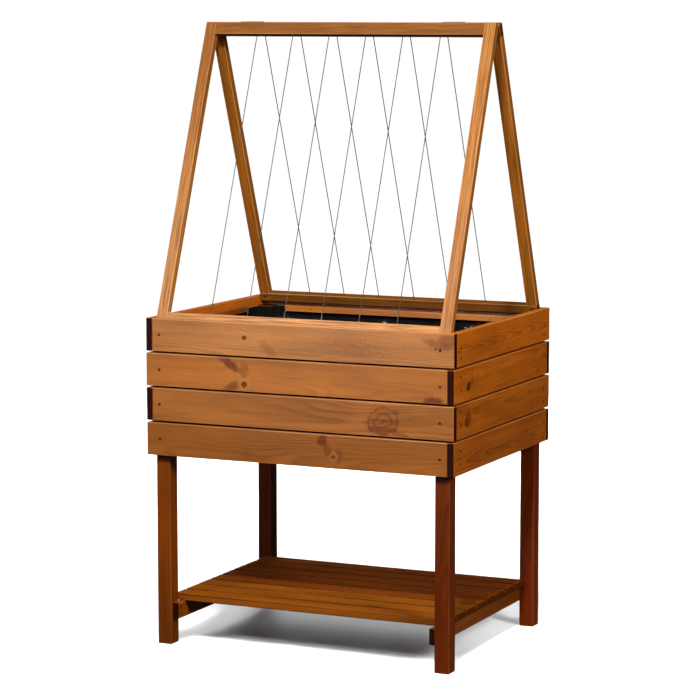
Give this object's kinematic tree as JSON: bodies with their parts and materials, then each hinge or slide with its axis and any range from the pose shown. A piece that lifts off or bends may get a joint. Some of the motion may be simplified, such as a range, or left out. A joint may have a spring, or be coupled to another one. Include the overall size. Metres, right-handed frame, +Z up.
{
  "type": "planter with trellis",
  "caption": "Raised wooden planter box on four square legs, with a slatted shelf below and an A-shaped wire trellis of two hinged frames on top.",
  "frame": {"origin": "on the floor under the middle of the box", "axes": "+Z up, +X along the long side towards the right, the front faces -Y"},
  "size_m": [0.904, 0.696, 1.6973],
  "materials": {
    "stained_pine": "satin",
    "dowel_wood": "matte",
    "black_film": "gloss",
    "dark_screw": "satin",
    "steel_nail": "satin",
    "wire_steel": "satin",
    "black_hinge": "satin"
  },
  "bodies": {
    "planter": {"leg_front_left": "stained_pine", "leg_front_right": "stained_pine", "leg_back_left": "stained_pine", "leg_back_right": "stained_pine", "board_front_1": "stained_pine", "board_front_2": "stained_pine", "board_front_3": "stained_pine", "board_front_4": "stained_pine", "board_back_1": "stained_pine", "board_back_2": "stained_pine", "board_back_3": "stained_pine", "board_back_4": "stained_pine", "board_left_1": "stained_pine", "board_left_2": "stained_pine", "board_left_3": "stained_pine", "board_left_4": "stained_pine", "board_right_1": "stained_pine", "board_right_2": "stained_pine", "board_right_3": "stained_pine", "board_right_4": "stained_pine", "shelf_batten_left": "stained_pine", "shelf_batten_right": "stained_pine", "shelf_slat_1": "stained_pine", "shelf_slat_2": "stained_pine", "shelf_slat_3": "stained_pine", "shelf_slat_4": "stained_pine", "shelf_slat_5": "stained_pine", "shelf_slat_6": "stained_pine", "shelf_slat_7": "stained_pine", "shelf_slat_8": "stained_pine", "floor_bearer_left": "stained_pine", "floor_bearer_right": "stained_pine", "floor_boards": "stained_pine", "liner": "black_film", "liner_batten_front": "stained_pine", "liner_batten_back": "stained_pine", "liner_batten_left": "stained_pine", "liner_batten_right": "stained_pine", "board_screws": "dark_screw", "deck_nails": "steel_nail", "liner_nails": "steel_nail"},
    "front_trellis": {"front_upright_left": "stained_pine", "front_upright_right": "stained_pine", "front_top_rail": "stained_pine", "front_bottom_rail": "stained_pine", "front_wires": "wire_steel", "front_dowels": "dowel_wood", "front_trellis_screws": "dark_screw", "hinge_leaves_front": "black_hinge", "hinge_pins": "black_hinge"},
    "back_trellis": {"back_upright_left": "stained_pine", "back_upright_right": "stained_pine", "back_top_rail": "stained_pine", "back_bottom_rail": "stained_pine", "back_wires": "wire_steel", "back_dowels": "dowel_wood", "back_trellis_screws": "dark_screw", "hinge_leaves_back": "black_hinge"}
  },
  "joints": [
    {"name": "trellis_lift", "type": "slide", "parent": "planter", "child": "front_trellis", "axis": [0, 0, 1], "range_m": [0, 0.244]},
    {"name": "trellis_fold", "type": "hinge", "parent": "front_trellis", "child": "back_trellis", "pos_m": [0, 0, 1.691], "axis": [-1, 0, 0], "range_deg": [0, 41.79]}
  ],
  "couplings": [
    {"joint": "trellis_fold", "follows": "trellis_lift", "rad_per_m": 2.985}
  ]
}
